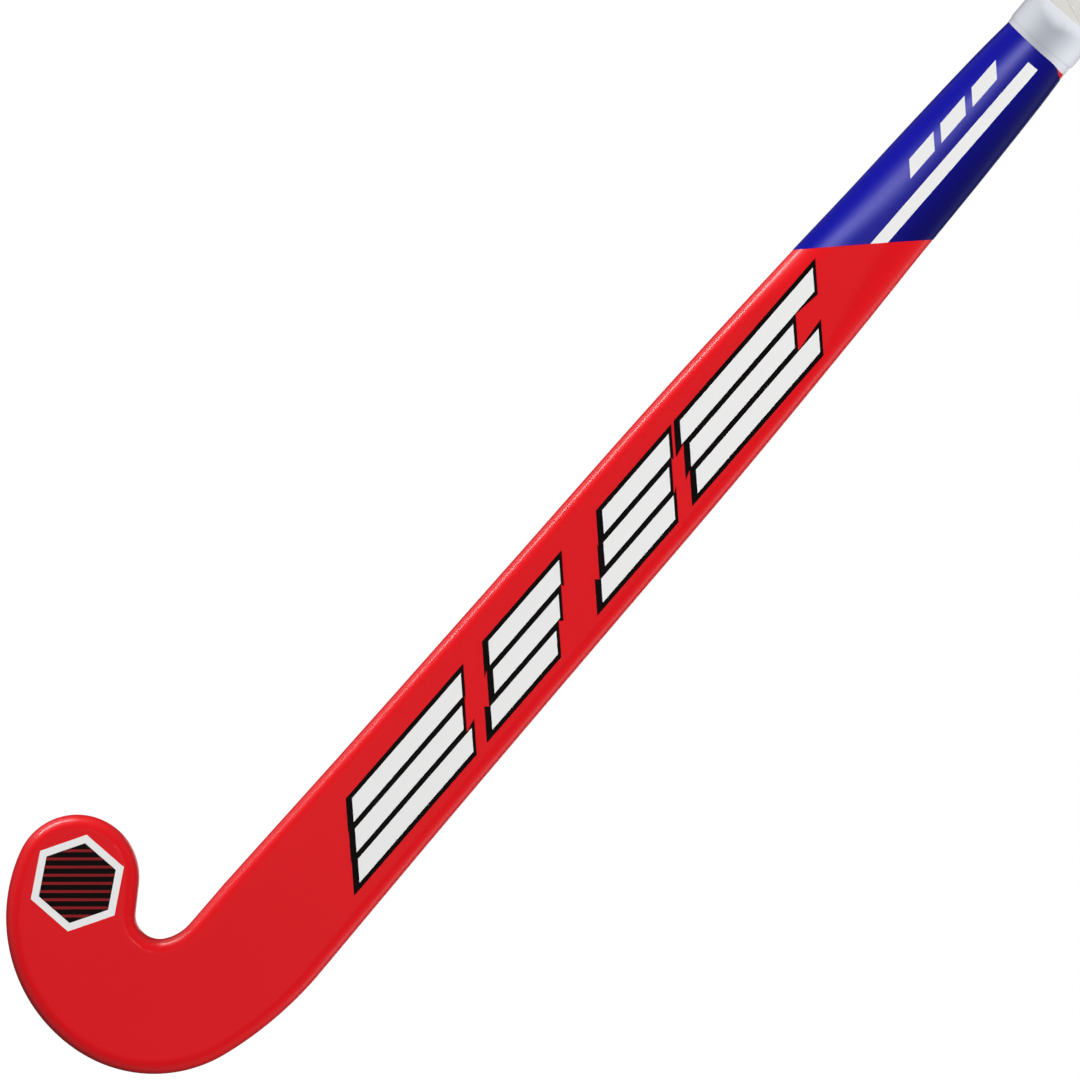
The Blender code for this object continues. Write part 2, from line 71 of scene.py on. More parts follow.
def make_surround():
    """A white ring beside, above and below the stick, dim before and behind it, plain white to look at."""
    world = bpy.data.worlds.new("studio_surround")
    world.use_nodes = True
    nodes, links = world.node_tree.nodes, world.node_tree.links
    room = nodes["Background"]
    seen = nodes.new("ShaderNodeBackground")
    for background in (room, seen):
        background.inputs["Color"].default_value = (1, 1, 1, 1)
    place = nodes.new("ShaderNodeTexCoord")
    facing = nodes.new("ShaderNodeVectorMath")
    facing.operation = "DOT_PRODUCT"
    facing.inputs[1].default_value = (0, 1, 0)
    either_way = nodes.new("ShaderNodeMath")
    either_way.operation = "ABSOLUTE"
    strength = nodes.new("ShaderNodeMapRange")
    strength.interpolation_type = "SMOOTHSTEP"
    for label, value in zip(("From Min", "From Max", "To Min", "To Max"), (*ROOM_TURNS, *ROOM_LEVELS)):
        strength.inputs[label].default_value = value
    path = nodes.new("ShaderNodeLightPath")
    mix = nodes.new("ShaderNodeMixShader")
    links.new(place.outputs["Generated"], facing.inputs[0])
    links.new(facing.outputs["Value"], either_way.inputs[0])
    links.new(either_way.outputs["Value"], strength.inputs["Value"])
    links.new(strength.outputs["Result"], room.inputs["Strength"])
    links.new(path.outputs["Is Camera Ray"], mix.inputs["Fac"])
    links.new(room.outputs["Background"], mix.inputs[1])
    links.new(seen.outputs["Background"], mix.inputs[2])
    links.new(mix.outputs["Shader"], nodes["World Output"].inputs["Surface"])
    scene.world = world


def make_floor():
    """A white floor that only the surround lights, so that it dims close under the stick."""
    bpy.ops.mesh.primitive_circle_add(vertices=96, radius=8.0, fill_type="NGON")
    ground = bpy.context.object
    ground.name = "studio_floor"
    material, _, shader = shader_material("floor_paint", roughness=0.9)
    shader.inputs["Base Color"].default_value = (0.60, 0.60, 0.60, 1)
    shader.inputs["Specular IOR Level"].default_value = 0.0
    shader.inputs["Emission Color"].default_value = (1, 1, 1, 1)
    shader.inputs["Emission Strength"].default_value = 0.97
    ground.data.materials.append(material)
    ground.visible_diffuse = False
    ground.visible_glossy = False
    beside = bpy.data.collections.new("all_but_floor")
    beside.objects.link(ground)
    beside.collection_objects[0].light_linking.link_state = "EXCLUDE"
    return beside


def make_light(name, azimuth, middle, distance, size, radiance, reflected=True):
    """A soft light at this many degrees round from the face, towards the heel when positive."""
    data = bpy.data.lights.new(name, "AREA")
    data.shape = "RECTANGLE"
    data.size, data.size_y = size
    data.energy = radiance * pi * size[0] * size[1]
    light = bpy.data.objects.new(name, data)
    turn = radians(azimuth)
    away = Vector((sin(turn), -cos(turn), 0))
    light.location = Vector((SHAFT_X, FACE_Y, middle)) + away * distance
    light.rotation_euler = away.to_track_quat("Z", "Y").to_euler()
    light.visible_camera = False
    light.visible_glossy = reflected
    light.light_linking.receiver_collection = ALL_BUT_FLOOR
    scene.collection.objects.link(light)
    return light


def light_only(light, name):
    """Flag this light off from all but the pieces that are put in its own collection."""
    lit = bpy.data.collections.new(name)
    light.light_linking.receiver_collection = lit
    return lit


def make_camera():
    """Square to the face, rolled so that the handle leans 41 degrees to the right."""
    view_width = 0.4104
    aim_x, aim_z = -0.0199, 0.2626
    data = bpy.data.cameras.new("camera")
    data.sensor_width = 36.0
    data.lens = 500.0
    camera = bpy.data.objects.new("camera", data)
    distance = view_width * data.lens / data.sensor_width
    roll = radians(40.96)
    right = Vector((cos(roll), 0, sin(roll)))
    up = Vector((-sin(roll), 0, cos(roll)))
    back = Vector((0, -1, 0))
    rotation = Matrix((right, up, back)).transposed().to_4x4()
    centre = Vector((SHAFT_X + aim_x, FACE_Y, aim_z))
    camera.matrix_world = Matrix.Translation(centre + back * distance) @ rotation
    scene.collection.objects.link(camera)
    scene.camera = camera


make_surround()
ALL_BUT_FLOOR = make_floor()
make_light("face_light", 0, 0.60, 2.2, (0.6, 0.6), 39.5, reflected=False)
make_light("toe_light", 0, 0.05, 1.0, (0.6, 0.22), 0.25)
neck_light = make_light("neck_light", -25, 0.48, 0.65, (0.20, 0.28), 28)
neck_light.visible_diffuse = False
LIT_NECK = light_only(neck_light, "lit_neck")
LIT_SHAFT = light_only(make_light("edge_light", -89, 0.95, 1.7, (0.24, 1.5), 19), "lit_shaft")
make_light("heel_light", 104, 0.60, 1.9, (1.0, 1.5), 0.7)
make_light("back_light", 165, 0.70, 2.0, (0.8, 1.6), 1.4)
make_light("back_edge_light", -120, 0.60, 1.9, (0.4, 1.5), 0.9)
for name, azimuth, radiance in (("heel_fill", 100, 18), ("toe_fill", -100, 12), ("back_fill", 180, 20)):
    make_light(name, azimuth, 0.60, 2.2, (0.6, 0.6), radiance, reflected=False)
make_camera()


# ---- Wooden head ---------------------------------------------------------------------------
# Nine strips of steamed mulberry, bent round the hook together and glued, then planed to the
# outline. They keep the frame's own solids and only take a straight, slightly furry grain.
def new_group(name, inputs, outputs):
    """An empty shader group with its sockets and its two end nodes."""
    group = bpy.data.node_groups.new(name, "ShaderNodeTree")
    for direction, sockets in (("INPUT", inputs), ("OUTPUT", outputs)):
        for label, kind, default in sockets:
            socket = group.interface.new_socket(label, in_out=direction, socket_type=kind)
            if default is not None:
                socket.default_value = default
    return group, group.nodes.new("NodeGroupInput"), group.nodes.new("NodeGroupOutput")


def add_node(tree, kind, settings=None, **values):
    """A node with its settings, its plain input values and its links from other nodes."""
    node = tree.nodes.new(kind)
    for key, value in (settings or {}).items():
        setattr(node, key, value)
    for key, value in values.items():
        socket = node.inputs[int(key[1:])] if key[1:].isdigit() else node.inputs[key.replace("_", " ")]
        if isinstance(value, bpy.types.NodeSocket):
            tree.links.new(value, socket)
        else:
            socket.default_value = value
    return node


def make_grain_group():
    """Long streaks up the stick with finer pores between them."""
    colour, number = "NodeSocketColor", "NodeSocketFloat"
    group, given, made = new_group(
        "wood_grain",
        (("Light", colour, (0.6, 0.45, 0.3, 1)), ("Dark", colour, (0.4, 0.25, 0.15, 1)),
         ("Streaks", number, 600.0), ("Stretch", number, 0.03)),
        (("Color", colour, None), ("Height", number, None)),
    )
    place = add_node(group, "ShaderNodeTexCoord")
    scale = add_node(group, "ShaderNodeCombineXYZ", x0=1.0, x1=1.0, x2=given.outputs["Stretch"])
    long = add_node(group, "ShaderNodeVectorMath", {"operation": "MULTIPLY"},
                    x0=place.outputs["Object"], x1=scale.outputs["Vector"])
    streak = add_node(group, "ShaderNodeTexNoise", Vector=long.outputs["Vector"],
                      Scale=given.outputs["Streaks"], Detail=4.0)
    blend = add_node(group, "ShaderNodeMix", {"data_type": "RGBA"}, Factor=streak.outputs["Fac"],
                     x6=given.outputs["Light"], x7=given.outputs["Dark"])
    group.links.new(blend.outputs[2], made.inputs["Color"])
    group.links.new(streak.outputs["Fac"], made.inputs["Height"])
    return group


def group_node(tree, group, **values):
    node = add_node(tree, "ShaderNodeGroup", {"node_tree": group})
    for label, value in values.items():
        node.inputs[label.replace("_", " ")].default_value = value
    return node


def add_bump(tree, shader, height, strength, distance):
    bump = add_node(tree, "ShaderNodeBump", Height=height, Strength=strength, Distance=distance)
    tree.links.new(bump.outputs["Normal"], shader.inputs["Normal"])


WOOD_GRAIN = make_grain_group()


def wood_material(name, light, dark, streaks, roughness):
    material, tree, shader = shader_material(name, roughness)
    grain = group_node(tree, WOOD_GRAIN, Light=(*light, 1), Dark=(*dark, 1), Streaks=streaks)
    tree.links.new(grain.outputs["Color"], shader.inputs["Base Color"])
    add_bump(tree, shader, grain.outputs["Height"], 0.3, 0.0002)
    return material


def finish_nodes(prefix, material):
    """Give every CAD node whose name starts so this material."""
    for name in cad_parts:
        if name.startswith(prefix):
            mesh = bpy.data.objects[name].data
            mesh.materials.clear()
            mesh.materials.append(material)


mulberry = wood_material("mulberry_wood", (0.66, 0.49, 0.30), (0.42, 0.27, 0.14), 700.0, 0.6)
finish_nodes("head_ply", mulberry)


# ---- Cane slips ----------------------------------------------------------------------------
# Four slips split from manau cane run the whole handle and end in the wedge of the splice.
# Cane is paler than the head, with wide open pores.
cane = wood_material("split_cane", (0.74, 0.60, 0.38), (0.50, 0.36, 0.18), 420.0, 0.65)
finish_nodes("cane_slip", cane)


# ---- Rubber springs ------------------------------------------------------------------------
# Three thin strips of vulcanised rubber glued between the slips, to soften the handle.
def make_pore_group():
    """A fine, even pebble of the kind moulded rubber and coated cloth have."""
    number = "NodeSocketFloat"
    group, given, made = new_group(
        "fine_pores", (("Size", number, 0.0006), ("Unevenness", number, 0.3)),
        (("Height", number, None), ("Patches", number, None)),
    )
    place = add_node(group, "ShaderNodeTexCoord")
    density = add_node(group, "ShaderNodeMath", {"operation": "DIVIDE"}, x0=1.0, x1=given.outputs["Size"])
    cells = add_node(group, "ShaderNodeTexVoronoi", Vector=place.outputs["Object"],
                     Scale=density.outputs["Value"], Randomness=0.9)
    patches = add_node(group, "ShaderNodeTexNoise", Vector=place.outputs["Object"], Scale=45.0, Detail=3.0)
    shift = add_node(group, "ShaderNodeMath", {"operation": "MULTIPLY_ADD"},
                     x0=patches.outputs["Fac"], x1=given.outputs["Unevenness"], x2=cells.outputs["Distance"])
    group.links.new(shift.outputs["Value"], made.inputs["Height"])
    group.links.new(patches.outputs["Fac"], made.inputs["Patches"])
    return group


FINE_PORES = make_pore_group()


def toned(tree, shader, factor, light, dark):
    """Colour that drifts between two close tones."""
    blend = add_node(tree, "ShaderNodeMix", {"data_type": "RGBA"}, Factor=factor,
                     x6=(*light, 1), x7=(*dark, 1))
    tree.links.new(blend.outputs[2], shader.inputs["Base Color"])


def pored_material(name, light, dark, roughness, size, strength):
    material, tree, shader = shader_material(name, roughness)
    pores = group_node(tree, FINE_PORES, Size=size)
    toned(tree, shader, pores.outputs["Patches"], light, dark)
    add_bump(tree, shader, pores.outputs["Height"], strength, 0.0002)
    return material


spring_rubber = pored_material("spring_rubber", (0.05, 0.05, 0.055), (0.03, 0.03, 0.033), 0.8, 0.0005, 0.3)
finish_nodes("rubber_spring", spring_rubber)


# ---- Painted sleeve ------------------------------------------------------------------------
# A glass-fibre sock pulled over the wood, filled with resin, rubbed flat and lacquered red,
# with the neck masked off on a slant and sprayed blue. It is thin and open at the handle.
BOW_START, BOW_END, BOW_ANGLE = 0.200, 0.520, radians(5.73)
BOW_RADIUS = (BOW_END - BOW_START) / BOW_ANGLE
HALF_WIDTHS = (
    (0.0816, 0.0250), (0.160, 0.0236), (0.248, 0.0226), (0.330, 0.0218), (0.400, 0.0199),
    (0.440, 0.0183), (0.475, 0.0172), (0.510, 0.0157), (0.528, 0.0144), (0.537, 0.0135),
    (0.600, 0.0135),
)
DEPTHS = ((0.0816, 0.0215), (0.260, 0.0238), (0.420, 0.0246), (0.530, 0.0260), (0.600, 0.0260))
PARTINGS = ((0.0816, 0.0065), (0.380, 0.0070), (0.460, 0.0100), (0.530, 0.0130), (0.600, 0.0130))
TOE_DEPTH, EDGE_RADIUS, BACK_POWER = 0.0195, 0.0055, 2.4
CROWN_START, CROWN_END = 0.370, 0.460
HOOK_TOP = HALF_WIDTHS[0][0]
HEEL_UPPER, HEEL, SOLE = (0.1456, 17.95), (0.0525, 63.7), (0.0608, 82.1)
TOE_TIP, TOE_FLANK = (0.0237, 161.7), 0.0109
CROOK, CROOK_UPPER = (0.0091, 108.7), (0.0176, 36.85)
SLEEVE_TOP, SLEEVE_WALL = 0.536, 0.0010
SHAFT_STATIONS, SECTION_STEPS = 150, 36
SEAM = 1e-7

Rim = namedtuple("Rim", "point spine height reach")
Form = namedtuple("Form", "depth parting edge power")


def smooth_value(points, at):
    """Value at a place on the smooth curve through (place, value) points."""
    if at <= points[0][0]:
        return points[0][1]
    if at >= points[-1][0]:
        return points[-1][1]
    index = max(i for i, point in enumerate(points[:-1]) if point[0] <= at)
    (x0, y0), (x1, y1) = points[index], points[index + 1]
    span = x1 - x0
    before = points[index - 1] if index else points[0]
    after = points[index + 2] if index + 2 < len(points) else points[-1]
    slope0 = (y1 - before[1]) / (x1 - before[0])
    slope1 = (after[1] - y0) / (after[0] - x0)
    t = (at - x0) / span
    return ((2 * t**3 - 3 * t**2 + 1) * y0 + (t**3 - 2 * t**2 + t) * span * slope0
            + (3 * t**2 - 2 * t**3) * y1 + (t**3 - t**2) * span * slope1)


def half_width(height):
    return smooth_value(HALF_WIDTHS, height)


def eased(t):
    t = min(1.0, max(0.0, t))
    return t * t * (3 - 2 * t)


def form_at(height, reach):
    """The D section at a height; reach runs from 0 at the top of the hook to 1 at the toe."""
    crown = eased((height - CROWN_START) / (CROWN_END - CROWN_START))
    depth = smooth_value(DEPTHS, height)
    depth += (TOE_DEPTH - depth) * reach
    edge = EDGE_RADIUS + (half_width(height) - EDGE_RADIUS) * crown
    return Form(depth, smooth_value(PARTINGS, height), edge, BACK_POWER + (2.0 - BACK_POWER) * crown)


def front_depth(rho, half, form):
    run = max(0.0, rho * half - (half - form.edge)) / form.edge
    return form.parting - form.parting * sqrt(max(0.0, 1 - run * run))


def back_depth(rho, form):
    return form.parting + (form.depth - form.parting) * (1 - min(1.0, rho)**form.power)**(1 / form.power)


def bowed(x, depth, height):
    """Bend a point of the straight stick to the bow, which is hollow on the face."""
    turn = BOW_ANGLE * min(1.0, max(0.0, (height - BOW_START) / (BOW_END - BOW_START)))
    beyond = min(0.0, height - BOW_START) + max(0.0, height - BOW_END)
    y = -BOW_RADIUS * (1 - cos(turn)) - beyond * sin(turn) + depth * cos(turn)
    z = BOW_START + BOW_RADIUS * sin(turn) + beyond * cos(turn) + depth * sin(turn)
    return Vector((SHAFT_X + x, FACE_Y + y, BASE_Z + z))


def walk_arc(start, heading, arc, steps, side=1):
    radius, turn = arc
    step = radians(turn) / steps * side
    point, trail = Vector(start), []
    for _ in range(steps):
        chord = 2 * radius * sin(abs(step) / 2)
        point = point + chord * Vector((cos(heading - step / 2), sin(heading - step / 2)))
        heading -= step
        trail.append((point, heading))
    return trail


def walk_line(start, heading, length, steps):
    along = Vector((cos(heading), sin(heading)))
    return [(Vector(start) + along * length * i / steps, heading) for i in range(1, steps + 1)]


def hook_rims():
    """Rims round the hook in order, from the heel side round the toe to the crook side."""
    outer = [(Vector((half_width(HOOK_TOP), HOOK_TOP)), -pi / 2)]
    for arc, steps in ((HEEL_UPPER, 14), (HEEL, 32), (SOLE, 36)):
        outer += walk_arc(*outer[-1], arc, steps)
    tip = walk_arc(*outer[-1], TOE_TIP, 64)
    inner = [tip[-1]]
    inner += walk_line(*inner[-1], TOE_FLANK, 14)
    inner += walk_arc(*inner[-1], CROOK, 42, side=-1)
    inner += walk_arc(*inner[-1], CROOK_UPPER, 14, side=-1)
    inner += walk_line(*inner[-1], HOOK_TOP - inner[-1][0].y, 12)
    last = len(outer) - 1
    centre = outer[-1][0] - TOE_TIP[0] * Vector((-sin(outer[-1][1]), cos(outer[-1][1])))
    shift = centre - (outer[-1][0] + inner[0][0]) / 2
    spines = [(out_side[0] + in_side[0]) / 2 + shift * eased(i / last)
              for i, (out_side, in_side) in enumerate(zip(outer, inner[::-1]))]
    rims = [Rim(point, spines[i], point.y, i / last) for i, (point, _) in enumerate(outer)]
    rims += [Rim(point, centre, point.y, 1.0) for point, _ in tip[:-1]]
    rims += [Rim(point, spines[last - i], point.y, 1 - i / last) for i, (point, _) in enumerate(inner)]
    return rims


def shaft_rims(side, heights):
    return [Rim(Vector((side * half_width(h), h)), Vector((0, h)), h, 0.0) for h in heights]


def close_seams(bm):
    """Weld the points that meet, drop the faces that have no area and turn the rest outwards."""
    bmesh.ops.remove_doubles(bm, verts=bm.verts, dist=SEAM)
    bmesh.ops.dissolve_degenerate(bm, edges=bm.edges, dist=SEAM)
    bmesh.ops.recalc_face_normals(bm, faces=bm.faces)


def sleeve_surface(bm, top):
    """The lacquered outside, from the toe up to a height on the shaft."""
    heights = [top + (HOOK_TOP - top) * i / SHAFT_STATIONS for i in range(SHAFT_STATIONS)]
    rims = shaft_rims(1, heights) + hook_rims() + shaft_rims(-1, heights[::-1])
    rows = [sin(pi / 2 * (1 - i / SECTION_STEPS)) for i in range(SECTION_STEPS + 1)]
    for front in (True, False):
        grid = []
        for rim in rims:
            half = (rim.point - rim.spine).length
            form = form_at(rim.height, rim.reach)
            column = []
            for rho in rows:
                place = rim.spine + (rim.point - rim.spine) * rho
                depth = front_depth(rho, half, form) if front else back_depth(rho, form)
                column.append(bm.verts.new(bowed(place.x, depth, place.y)))
            grid.append(column)
        for column, following in zip(grid, grid[1:]):
            for j in range(len(rows) - 1):
                bm.faces.new((column[j], column[j + 1], following[j + 1], following[j]))
    close_seams(bm)


def new_piece(name, bm, material, slot, *nodes, smooth=60):
    """Turn a bmesh into a piece that rides on the stick and stands for the named nodes."""
    mesh = bpy.data.meshes.new(name)
    bm.to_mesh(mesh)
    bm.free()
    mesh.shade_smooth()
    mesh.set_sharp_from_angle(angle=radians(smooth))
    mesh.materials.append(material)
    piece = bpy.data.objects.new(name, mesh)
    scene.collection.objects.link(piece)
    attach(piece, "root")
    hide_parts(*nodes)
    return piece


def add_wall(piece, thickness, smooth=60):
    """Give an open surface this thickness inwards, with a crisp edge at its mouth."""
    wall = piece.modifiers.new("wall", "SOLIDIFY")
    wall.thickness = thickness
    wall.offset = -1.0
    wall.use_even_offset = True
    mesh = bpy.data.meshes.new_from_object(piece.evaluated_get(bpy.context.evaluated_depsgraph_get()))
    mesh.set_sharp_from_angle(angle=radians(smooth))
    piece.modifiers.clear()
    piece.data = mesh


def make_lacquer_group():
    """Faint orange peel, a slow drift of tone, and dull rubbed patches."""
    number = "NodeSocketFloat"
    group, given, made = new_group(
        "lacquer_film", (("Peel", number, 900.0), ("Drift", number, 14.0), ("Dulling", number, 0.1),
                         ("Roughness", number, 0.3)),
        (("Height", number, None), ("Tone", number, None), ("Roughness", number, None)),
    )
    place = add_node(group, "ShaderNodeTexCoord")
    peel = add_node(group, "ShaderNodeTexNoise", Vector=place.outputs["Object"],
                    Scale=given.outputs["Peel"], Detail=2.0)
    drift = add_node(group, "ShaderNodeTexNoise", Vector=place.outputs["Object"],
                     Scale=given.outputs["Drift"], Detail=3.0)
    dull = add_node(group, "ShaderNodeMath", {"operation": "MULTIPLY_ADD"}, x0=drift.outputs["Fac"],
                    x1=given.outputs["Dulling"], x2=given.outputs["Roughness"])
    group.links.new(peel.outputs["Fac"], made.inputs["Height"])
    group.links.new(drift.outputs["Fac"], made.inputs["Tone"])
    group.links.new(dull.outputs["Value"], made.inputs["Roughness"])
    return group


LACQUER_FILM = make_lacquer_group()


def lacquer_material(name, light, dark, roughness=0.32, peel=0.05, coat=0.25, specular=0.5):
    material, tree, shader = shader_material(name, roughness, coat, 0.12)
    shader.inputs["Specular IOR Level"].default_value = specular
    film = group_node(tree, LACQUER_FILM, Roughness=roughness)
    toned(tree, shader, film.outputs["Tone"], light, dark)
    tree.links.new(film.outputs["Roughness"], shader.inputs["Roughness"])
    add_bump(tree, shader, film.outputs["Height"], peel, 0.0001)
    return material


BASE_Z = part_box("fibreglass_sleeve")[0].z - min(rim.point.y for rim in hook_rims())

sleeve = bmesh.new()
sleeve_surface(sleeve, SLEEVE_TOP)
red = lacquer_material("red_lacquer", (0.740, 0.0065, 0.0115), (0.715, 0.0055, 0.0100), peel=0.006)
red_sleeve = new_piece("lacquered_sleeve", sleeve, red, "red_lacquer", "fibreglass_sleeve")
add_wall(red_sleeve, SLEEVE_WALL)
LIT_SHAFT.objects.link(red_sleeve)


# ---- Blue neck coat ------------------------------------------------------------------------
# A second colour sprayed over the red above a masked slanting line. Its base colour darkens from royal blue
# on the toe side to navy on the heel side, which is painted shade of the rounded neck, and its edge stands
# up by the coat's thickness.
PAINT_LINE = ((-0.0182, 0.4107), (0.0179, 0.4471))
COAT_CORNER = ((0.0112, 0.5268), (0.0150, 0.5245))
COAT_BUILD, COAT_FILM = 0.00010, 0.00008
# Across the neck between these two places the blue base colour darkens towards the heel side: painted shade.
PAINTED_SHADE_FROM_X, PAINTED_SHADE_TO_X = -0.013, 0.0135


def cut_through(bm, place, normal, **cleared):
    """Cut all of a bmesh along a plane."""
    geom = list(bm.verts) + list(bm.edges) + list(bm.faces)
    bmesh.ops.bisect_plane(bm, geom=geom, plane_co=place, plane_no=normal, **cleared)


def neck_coat():
    bm = bmesh.new()
    sleeve_surface(bm, SLEEVE_TOP)
    for line, way in ((PAINT_LINE, 1), (COAT_CORNER, -1)):
        start, end = (bowed(x, 0, height) for x, height in line)
        along = end - start
        cut_through(bm, start, (-along.z * way, 0, along.x * way), clear_inner=True)
    bm.normal_update()
    for vert in bm.verts:
        vert.co += vert.normal * COAT_BUILD
    return bm


def painted_shade_material(name, lit_blue, painted_shade_blue, roughness):
    material, tree, shader = shader_material(name, roughness)
    shader.inputs["Specular IOR Level"].default_value = 0.15
    place = add_node(tree, "ShaderNodeTexCoord")
    split = add_node(tree, "ShaderNodeSeparateXYZ", Vector=place.outputs["Object"])
    # Painted shade: the base colour darkens from royal blue on the toe side to navy on the heel side.
    painted_shade = add_node(tree, "ShaderNodeMapRange", Value=split.outputs["X"],
                    x1=SHAFT_X + PAINTED_SHADE_FROM_X, x2=SHAFT_X + PAINTED_SHADE_TO_X)
    toned(tree, shader, painted_shade.outputs["Result"], lit_blue, painted_shade_blue)
    film = group_node(tree, LACQUER_FILM, Roughness=roughness)
    tree.links.new(film.outputs["Roughness"], shader.inputs["Roughness"])
    add_bump(tree, shader, film.outputs["Height"], 0.02, 0.0001)
    return material


blue = painted_shade_material("blue_lacquer", (0.0060, 0.0065, 0.38), (0.0040, 0.0040, 0.105), 0.33)
blue_coat = new_piece("blue_neck_coat", neck_coat(), blue, "blue_lacquer", "fibreglass_sleeve")
add_wall(blue_coat, COAT_FILM)
LIT_NECK.objects.link(blue_coat)


# ---- Shaft transfers -----------------------------------------------------------------------
# Four printed blocks of slanted bars up the shaft: a black film with white bars on it, slid on
# wet before the clear coat. A plain pattern of bars, cut so that each end slants to the heel.
FILM_SINK, BLACK_BUILD, WHITE_BUILD = 0.00005, 0.00008, 0.00012
BLOCK_BORDER = 0.0017
BAR_EDGES = ((-0.0095, -0.0031), (-0.0011, 0.0053), (0.0073, 0.0137))
BLOCKS = (
    ((0.142, 0.205), (0.134, 0.196), (0.126, 0.192)),
    ((0.221, 0.262), (0.214, 0.252), (0.203, 0.241)),
    ((0.287, 0.3255), (0.278, 0.316), (0.267, 0.309)),
    ((0.332, 0.409), (0.328, 0.388), (0.322, 0.393)),
)


def face_point(x, height, lift):
    """A point this far above the lacquer on the front of the shaft."""
    half = half_width(height)
    return bowed(x, front_depth(abs(x) / half, half, form_at(height, 0.0)) - lift, height)


def lay_film(outlines, build, pitch=(0.001, 0.004), on_head=False, sink=FILM_SINK):
    """A thin film of these (x, height) outlines, pressed onto the front of the stick."""
    bm = bmesh.new()
    for outline in outlines:
        bm.faces.new([bm.verts.new((x, 0, height)) for x, height in outline])
    for axis, normal in ((0, (1, 0, 0)), (2, (0, 0, 1))):
        step = pitch[0] if axis == 0 else pitch[1]
        low = min(vert.co[axis] for vert in bm.verts)
        high = max(vert.co[axis] for vert in bm.verts)
        for i in range(1, int((high - low) / step)):
            cut = Vector((0, 0, 0))
            cut[axis] = low + i * step
            cut_through(bm, cut, normal)
    under = list(bm.verts)
    grown = bmesh.ops.extrude_face_region(bm, geom=list(bm.faces), use_keep_orig=True)
    over = [part for part in grown["geom"] if isinstance(part, bmesh.types.BMVert)]
    for verts, lift in ((under, -sink), (over, build)):
        for vert in verts:
            x, height = vert.co.x, vert.co.z
            vert.co = bowed(x, -lift, height) if on_head else face_point(x, height, lift)
    bmesh.ops.recalc_face_normals(bm, faces=bm.faces)
    return bm


def bar_outline(left, right, foot, head):
    fall = right - left
    return [(left, foot), (right, foot - fall), (right, head - fall), (left, head)]


def block_border(bars):
    """Stepped outline of the black film round three bars."""
    lower, upper = [], []
    for (left, right), (foot, head) in zip(BAR_EDGES, bars):
        left, right = left - BLOCK_BORDER, right + BLOCK_BORDER
        fall = right - left
        lower += [(left, foot - BLOCK_BORDER), (right, foot - BLOCK_BORDER - fall)]
        upper += [(left, head + 2 * BLOCK_BORDER), (right, head + 2 * BLOCK_BORDER - fall)]
    return lower + upper[::-1]


black_print = lacquer_material("black_print", (0.0030, 0.0020, 0.0020), (0.0045, 0.0030, 0.0030), 0.3,
                               coat=0.0, specular=0.2)
white_print = lacquer_material("white_print", (0.89, 0.89, 0.885), (0.85, 0.85, 0.845), 0.35)
for index, bars in enumerate(BLOCKS):
    node = f"shaft_transfer_{index + 1}"
    new_piece(f"block_border_{index + 1}", lay_film([block_border(bars)], BLACK_BUILD), black_print,
              "black_print", node, smooth=30)
    outlines = [bar_outline(*edges, *ends) for edges, ends in zip(BAR_EDGES, bars)]
    new_piece(f"block_bars_{index + 1}", lay_film(outlines, WHITE_BUILD), white_print,
              "white_print", node, smooth=30)


# ---- Toe badge -----------------------------------------------------------------------------
# A plain hexagon transfer on the toe: white rim, black field, dark red hatching.
BADGE_CENTRE, BADGE_RADIUS, BADGE_RIM = Vector((-0.0672, 0.0492)), 0.0187, 0.0028
FIELD_RADIUS = BADGE_RADIUS - BADGE_RIM / cos(pi / 6)
BADGE_PITCH = (0.05, 0.05)
HATCH_COUNT, HATCH_ANGLE, HATCH_SHARE = 9, radians(41), 0.34
HATCH_SPREAD, HATCH_OFFSET, HATCH_CLEAR, HATCH_LIFT = 0.92, 0.3, 0.0003, 0.00004


def hexagon(radius):
    return [BADGE_CENTRE + radius * Vector((cos(tau * i / 6), sin(tau * i / 6))) for i in range(6)]


def hatch_outlines():
    """Slanted stripes, each clipped to the hexagon's field by its own width at that place."""
    field = FIELD_RADIUS - HATCH_CLEAR
    pitch = 2 * field * HATCH_SPREAD / HATCH_COUNT
    along = Vector((cos(HATCH_ANGLE), sin(HATCH_ANGLE)))
    across = Vector((-along.y, along.x))
    sides = [Vector((cos(tau * (k + 0.5) / 6), sin(tau * (k + 0.5) / 6))) for k in range(6)]
    stripes = []
    for i in range(HATCH_COUNT):
        low = -field * HATCH_SPREAD + (i + HATCH_OFFSET) * pitch
        corners = []
        for offset, ways in ((low, (-1, 1)), (low + pitch * HATCH_SHARE, (1, -1))):
            for way in ways:
                start = across * offset
                reach = min((field * cos(pi / 6) - start.dot(side)) / (along * way).dot(side)
                            for side in sides if (along * way).dot(side) > 1e-6)
                if reach > 0:
                    corners.append(BADGE_CENTRE + start + along * way * reach)
        if len(corners) == 4:
            stripes.append(corners)
    return stripes


dark_red_print = lacquer_material("dark_red_print", (0.34, 0.008, 0.011), (0.13, 0.004, 0.005), 0.3)
badge_rim = lay_film([hexagon(BADGE_RADIUS)], BLACK_BUILD, BADGE_PITCH, on_head=True)
new_piece("badge_rim", badge_rim, white_print, "white_print", "toe_transfer", smooth=30)
badge_field = lay_film([hexagon(FIELD_RADIUS)], WHITE_BUILD, BADGE_PITCH, on_head=True)
new_piece("badge_field", badge_field, black_print, "black_print", "toe_transfer", smooth=30)
badge_hatch = lay_film(hatch_outlines(), WHITE_BUILD + HATCH_LIFT, BADGE_PITCH, on_head=True)
new_piece("badge_hatch", badge_hatch, dark_red_print, "red_lacquer", "toe_transfer", smooth=30)


